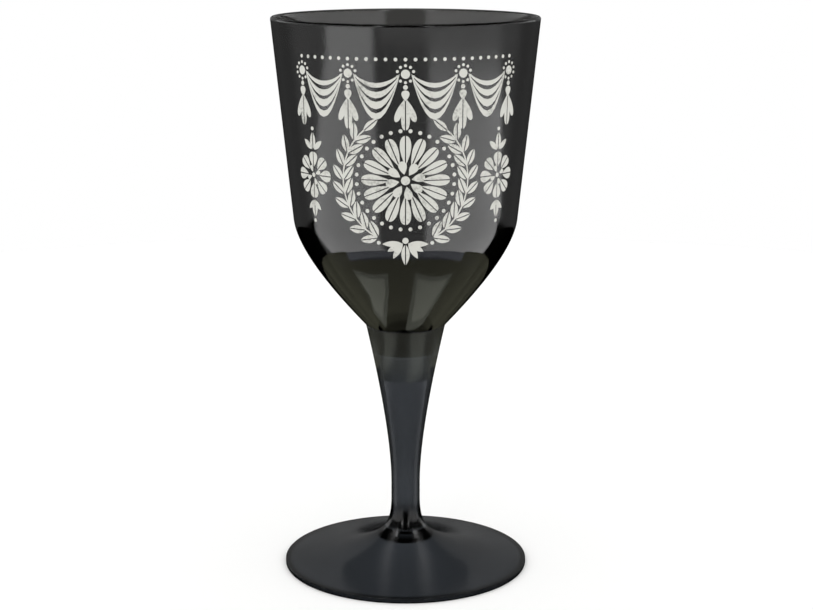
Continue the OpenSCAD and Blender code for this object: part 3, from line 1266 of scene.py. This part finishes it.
@dataclass
class Studio:
    """The surroundings, the table and the camera.

    The goblet stands in a cut-out picture: all that shows round it and through it is white, but for
    the foot's painted shadow on the table, a black ring and a dim glowing disc that show only through it.
    What its gloss mirrors is a dim room with two large soft boxes in front, a black disc round the foot
    as painted shade, glowing sheets as the lit table's painted reflection, a glowing card with two strips
    under the bowl as painted reflections, and two small lamps low beside the hub.
    """

    LAYER = 0.01                # how far apart sheets lie that share the table's plane

    room: tuple[tuple[float, float], ...] = (      # azimuth to either side, and radiance
        (0, 0.56), (95, 0.53), (107, 0.45), (113, 0.33), (121, 0.20), (130, 0.15), (140, 0.12),
        (152, 0.07), (165, 0.03), (180, 0.0),
    )
    room_top: tuple[float, float] = (-2.6, -0.8)   # elevations between which the room turns black
    boxes: tuple[SoftBox, ...] = (
        SoftBox((-71, -28), (-45, -1.5), 1.75, 9, flare=(-36, 0)),      # left soft box
        SoftBox((21, 89), (-45, -5.2), 1.85, 8, flare=(0, 24)),         # right soft box
        SoftBox((18, 88), (-5.2, -1.5), 0.45, 14),                      # its dimmer top
        SoftBox((-21, 20), (-4.1, -1.2), 0.5, 8, 1.0),                  # the line under the lip
        SoftBox((-142, -19), (0.0, 24), 1.0),                           # what the far wall mirrors
        SoftBox((19, 142), (0.0, 24), 1.0),
        SoftBox((-27, -17), (24, 50), 3.0, 5, 6.0),                     # two lamps, at the far rim
        SoftBox((15, 24), (24, 50), 2.6, 5, 6.0),
        SoftBox((-190, 190), (74, 130), 0.5, soft=12.0),                # ceiling
        SoftBox((-190, -142), (-2.0, 62), 0.21, 14, 3.0),               # far wall of the room, over the foot
        SoftBox((142, 190), (-2.0, 62), 0.21, 14, 3.0),
        SoftBox((-190, -168), (-30, -13), 1.6),                         # narrow soft box straight behind
        SoftBox((168, 190), (-30, -13), 1.6),
    )
    bow: float = 11.7           # how far a level edge bows down at the sides, as a flared wall shows it
    flare_span: tuple[float, float] = (-4.3, -10.0)
    dome: float = 1.16          # what matt surfaces get from all round
    arc_steps: int = 64
    lamp_steps: int = 48
    table_r: float = 600.0
    # radius of the black disc that only gloss sees: painted shade round the foot, dark at its edge
    dark_reflection_r: float = 46.0
    shadow_ring: tuple[float, float] = (38.4, 40.3)     # painted shadow: a black ring under the standing ring, seen only through the foot
    shade: float = 0.44         # how bright the dim glowing disc, the painted shadow under the foot, looks through the foot
    card: tuple[Arc, ...] = (   # glowing card under the bowl, brightest in front: painted reflections on the lower bowl
        Arc(11, 15, 0, 85, 0.10), Arc(15, 18.5, 0, 85, 0.20), Arc(11, 18.5, 85, 180),
        Arc(18.5, 60, 0, 62, 0.29), Arc(18.5, 76, 62, 95, 0.29), Arc(18.5, 76, 95, 118, 0.20),
        Arc(18.5, 76, 118, 136, 0.11), Arc(18.5, 76, 136, 180, 0.02), Arc(76, 210, 100, 180),
    )
    card_z: float = 62.0
    strips: tuple[tuple[str, tuple[tuple[float, float], ...]], ...] = (     # light strips on the card, glowing: painted reflections on the lower bowl
        ("left_strip", ((-45, -22), (-16, -40), (-13, -28), (-14, -6.5), (-22, -7), (-26, -14))),
        ("right_strip", ((39, -24), (12, -10), (1, -11.5), (9, -42))),
    )
    strip_layers: tuple[tuple[float, float, float], ...] = (    # size, rise over the card, radiance:
        (1.06, 0.3, 0.6), (0.78, 0.6, 0.97),                    # a dim edge under a bright middle
    )
    mirrored_table: tuple[Arc, ...] = (     # what the stem mirrors: glowing sheets as the lit table's painted reflection
        Arc(46, 105, 0, 104, 0.38), Arc(105, 132, 0, 104, 0.75), Arc(46, 400, 104, 180),
    )
    lamp: Arc = Arc(9.6, 12.3, 33, 66, 3.3)
    lamp_z: float = 18.0
    lamp_shade: Arc = Arc(9.4, 24, 5, 95)       # keeps the lamps' light off the foot
    lamp_shade_z: float = 15.5
    lid: Arc = Arc(7.5, 12.4, 0, 180)           # keeps it off the hub's top
    lid_z: float = 18.3
    focal_px: float = 1801.0    # the photograph's fitted camera, set back a little to show the whole foot
    frame_px: int = 813
    sensor_mm: float = 36.0
    camera_m: tuple[float, float, float] = (0.0003, -0.571, 0.2139)
    pitch: float = 12.52        # how far the camera looks down, in degrees

    def ramp(self, tree: bpy.types.NodeTree, value: Any, stops: tuple[tuple[float, float], ...]) -> Any:
        """Adds nodes that read a radiance off a list of stops.

        Args:
            tree: The world's tree.
            value: The angle, as a socket.
            stops: Pairs of an angle and a radiance, in order.

        Returns:
            The radiance, as a node.
        """
        first, last = stops[0][0], stops[-1][0]
        share = add(tree, "ShaderNodeMapRange", {0: value, 1: first, 2: last})
        ramp = add(tree, "ShaderNodeValToRGB", {0: share})
        ends = ramp.color_ramp.elements
        while len(ends) < len(stops):
            ends.new(0.5)
        for end, (angle, _) in zip(ends, stops):
            end.position = (angle - first) / (last - first)
        for end, (_, radiance) in zip(ends, stops):
            end.color = (radiance, radiance, radiance, 1.0)
        return ramp

    def mirrored(self, tree: bpy.types.NodeTree) -> bpy.types.Node:
        """Adds the nodes of what the plastic's gloss mirrors.

        Args:
            tree: The world's tree.

        Returns:
            The radiance, as a node.
        """
        way = add(tree, "ShaderNodeSeparateXYZ", {0: add(tree, "ShaderNodeTexCoord").outputs["Generated"]})
        ahead = add(tree, MATH, {0: way.outputs["Y"], 1: -1.0}, operation="MULTIPLY")
        turn = add(tree, MATH, {0: way.outputs["X"], 1: ahead}, operation="ARCTAN2")
        azimuth = add(tree, MATH, {0: turn}, operation="DEGREES")
        rise = add(tree, MATH, {0: way.outputs["Z"]}, operation="ARCSINE")
        plain = add(tree, MATH, {0: rise}, operation="DEGREES")
        half_turn = add(tree, MATH, {0: turn, 1: 0.5}, operation="MULTIPLY")
        bowed = add(tree, MATH, {0: half_turn}, operation="COSINE")
        elevation = add(tree, MATH, {0: bowed, 1: self.bow, 2: plain}, operation="MULTIPLY_ADD")
        lower = add(tree, "ShaderNodeMapRange", {
            0: elevation, 1: self.flare_span[0], 2: self.flare_span[1],
        })
        aside = add(tree, MATH, {0: azimuth}, operation="ABSOLUTE")
        dimmed = add(tree, "ShaderNodeMapRange", {
            0: elevation, 1: self.room_top[0], 2: self.room_top[1], 3: 1.0, 4: 0.0,
        }, interpolation_type="SMOOTHSTEP")
        total = add(tree, MATH, {0: self.ramp(tree, aside, self.room), 1: dimmed}, operation="MULTIPLY")
        for box in self.boxes:
            total = add(tree, MATH, {0: total, 1: box.lit(tree, azimuth, elevation, lower)}, operation="ADD")
        return total

    def surroundings(self) -> None:
        """Builds the world: what the gloss mirrors, what lights matt surfaces, and the white round it all."""
        world = bpy.data.worlds.new("studio")
        world.use_nodes = True
        bpy.context.scene.world = world
        tree = world.node_tree
        tree.nodes.clear()
        white = (1.0, 1.0, 1.0, 1.0)
        seen = add(tree, "ShaderNodeLightPath").outputs
        room = add(tree, "ShaderNodeBackground", {"Color": white, "Strength": self.mirrored(tree)})
        soft = add(tree, "ShaderNodeBackground", {"Color": white, "Strength": self.dome})
        backdrop = add(tree, "ShaderNodeBackground", {"Color": white, "Strength": 1.0})
        plain = add(tree, MATH, {
            0: seen["Is Camera Ray"], 1: seen["Is Transmission Ray"],
        }, operation="MAXIMUM")
        sky = add(tree, "ShaderNodeMixShader", {0: seen["Is Diffuse Ray"], 1: room, 2: soft})
        sky = add(tree, "ShaderNodeMixShader", {0: plain, 1: sky, 2: backdrop})
        add(tree, "ShaderNodeOutputWorld", {"Surface": sky})

    def matt(self, name: str, colour: str) -> bpy.types.Material:
        """Makes a matt paint for a studio piece.

        Args:
            name: The paint's name.
            colour: Its colour.

        Returns:
            The paint.
        """
        made = bpy.data.materials.new(name)
        made.use_nodes = True
        shader = made.node_tree.nodes["Principled BSDF"]
        shader.inputs["Base Color"].default_value = linear(colour)
        shader.inputs["Roughness"].default_value = 0.9
        return made

    def glow(self, name: str, colour: str, radiance: float) -> bpy.types.Material:
        """Makes the paint of a card that gives light on its face and can't be seen from behind.

        Args:
            name: The paint's name.
            colour: Its colour.
            radiance: How much light it gives.

        Returns:
            The paint.
        """
        made, tree = blank(name)
        light = add(tree, "ShaderNodeEmission", {"Color": linear(colour), "Strength": radiance})
        card = add(tree, "ShaderNodeMixShader", {
            0: add(tree, "ShaderNodeNewGeometry").outputs["Backfacing"], 1: light,
            2: add(tree, "ShaderNodeBsdfTransparent"),
        })
        add(tree, "ShaderNodeOutputMaterial", {"Surface": card})
        return made

    def ring(self, radius: float, height: float, start: float = 0.0, turn: float = 360.0,
             steps: int = 128) -> list[Vector]:
        """Returns points on an arc about the Z axis, from an azimuth: 0 is the front and 90 the right."""
        ways = [math.radians(start + turn * step / steps) for step in range(steps + 1)]
        return [Vector((radius * math.sin(way), -radius * math.cos(way), height)) for way in ways]

    def sheet(self, name: str, faces: list[list[Vector]], paint: bpy.types.Material, *seen_by: Ray) -> None:
        """Makes a thin sheet that is part of the studio.

        Args:
            name: The sheet's name.
            faces: The corners of each of its faces, in millimetres.
            paint: Its paint.
            *seen_by: The kinds of ray that see it.
        """
        corners = [corner * MM for face in faces for corner in face]
        counts = iter(range(len(corners)))
        mesh = bpy.data.meshes.new(name)
        mesh.from_pydata(corners, [], [[next(counts) for _ in face] for face in faces])
        mesh.materials.append(paint)
        sheet = placed(name, mesh)
        for ray in Ray:
            setattr(sheet, ray.value, ray in seen_by)

    def between(self, inner: list[Vector], outer: list[Vector]) -> list[list[Vector]]:
        """Returns the faces that join two rows of points."""
        return [[inner[i], outer[i], outer[i + 1], inner[i + 1]] for i in range(len(inner) - 1)]

    def table(self) -> None:
        """Builds the pale table, and what only the plastic sees: a black disc in its gloss as painted shade,
        and a black ring and a dim glowing disc through it as the foot's painted shadow.
        """
        black = self.matt("black_cloth", "#050505")
        self.sheet("table_top", [self.ring(self.table_r, 0.0)[:-1]], self.matt("table_paint", "#FBFBFA"),
                   Ray.CAMERA, Ray.MATT, Ray.SHADOW)
        # painted shade: a black disc that only gloss sees, so the foot's edge mirrors dark
        self.sheet("table_cloth", [self.ring(self.dark_reflection_r, -2 * self.LAYER)[:-1]], black, Ray.GLOSS)
        # the foot's painted shadow on the table: a black ring and a dim glowing disc that only rays through
        # the plastic see
        self.sheet("table_contact", self.between(*(self.ring(r, -self.LAYER) for r in self.shadow_ring)), black,
                   Ray.THROUGH)
        self.sheet("table_shade", [self.ring(self.shadow_ring[0], -self.LAYER)[:-1]],
                   self.glow("shaded_table", "#F0F6FF", self.shade), Ray.THROUGH)

    def cards(self) -> None:
        """Builds what only gloss sees near the goblet: the glowing card and its strips as painted reflections
        under the bowl, the glowing sheets of the lit table's painted reflection, the lamps.
        """
        cloth = self.glow("lamp_cloth", "#000000", 0.0)
        lamp = self.glow("low_lamp", "#FFFFFF", self.lamp.radiance)
        # glowing sheets that only gloss sees: the card's are painted reflections under the bowl, the table's
        # are its painted reflection in the stem
        for name, height, colour, parts in (
            ("low_card", self.card_z, "#FFFFDD", self.card),
            ("mirrored_table", self.LAYER, "#EEF3FF", self.mirrored_table),
        ):
            for part in parts:
                paint = self.glow(name, colour, part.radiance)
                for first in (-part.end, part.start):
                    rows = [
                        self.ring(r, height, first, part.end - part.start, self.arc_steps)
                        for r in (part.inner, part.outer)
                    ]
                    self.sheet(name, self.between(*rows), paint, Ray.GLOSS)
        # painted reflections: glowing strips on the card that only gloss sees
        for share, rise, radiance in self.strip_layers:
            paint = self.glow("pale_card", "#FBFFEC", radiance)
            for name, corners in self.strips:
                middle = sum((Vector(corner) for corner in corners), Vector((0, 0))) / len(corners)
                flat = [middle.lerp(Vector(corner), share) for corner in corners]
                self.sheet(name, [[Vector((p.x, p.y, self.card_z + rise)) for p in flat]], paint, Ray.GLOSS)
        for name, part, height, paint in (
            ("low_lamp", self.lamp, self.lamp_z, lamp),
            ("lamp_shade", self.lamp_shade, self.lamp_shade_z, cloth),
        ):
            for side, first in (("left", -part.end), ("right", part.start)):
                rows = [
                    self.ring(r, height, first, part.end - part.start, self.lamp_steps)
                    for r in (part.outer, part.inner)
                ]
                self.sheet(f"{name}_{side}", self.between(*rows), paint, Ray.GLOSS)
        rows = [self.ring(r, self.lid_z, steps=self.lamp_steps) for r in (self.lid.outer, self.lid.inner)]
        self.sheet("hub_lid", self.between(*rows), cloth, Ray.GLOSS)

    def camera(self) -> None:
        """Builds the camera at the photograph's viewing angle."""
        data = bpy.data.cameras.new("photo_camera")
        data.sensor_width = self.sensor_mm
        data.lens = self.focal_px / self.frame_px * self.sensor_mm
        camera = placed("photo_camera", data)
        camera.location = self.camera_m
        camera.rotation_euler = (math.radians(90 - self.pitch), 0.0, 0.0)
        bpy.context.scene.camera = camera

    def build(self) -> None:
        """Sets up the whole studio."""
        self.surroundings()
        self.table()
        self.cards()
        self.camera()
        bpy.context.scene.view_settings.view_transform = "Standard"


def main() -> None:
    """Builds the studio and the goblet, and reports each piece."""
    logging.basicConfig(level=logging.INFO, format="%(name)s: %(message)s")
    Studio().build()
    turning = Turning()
    clear_smoke = SmokedPlastic("smoked_polystyrene")
    stem_smoke = SmokedPlastic("smoked_polystyrene_stem", skin="#A6ABB0", tint="#C0C0C0", depth=1.0,
                               index=1.5, gloss=0.16, haze=0.08)
    foot_smoke = SmokedPlastic("smoked_polystyrene_foot", skin="#B4B8BC", tint="#6E7072", depth=1.4,
                               index=1.5, gloss=0.16, haze=0.08)
    bowl = Bowl(turning, clear_smoke)
    shell = bowl.build()
    Stem(turning, stem_smoke, bowl).build()
    Foot(turning, Ribbing(), foot_smoke).build()
    PrintedOrnament(bowl, ScreenInk()).build(shell)


if __name__ == "__main__":
    main()
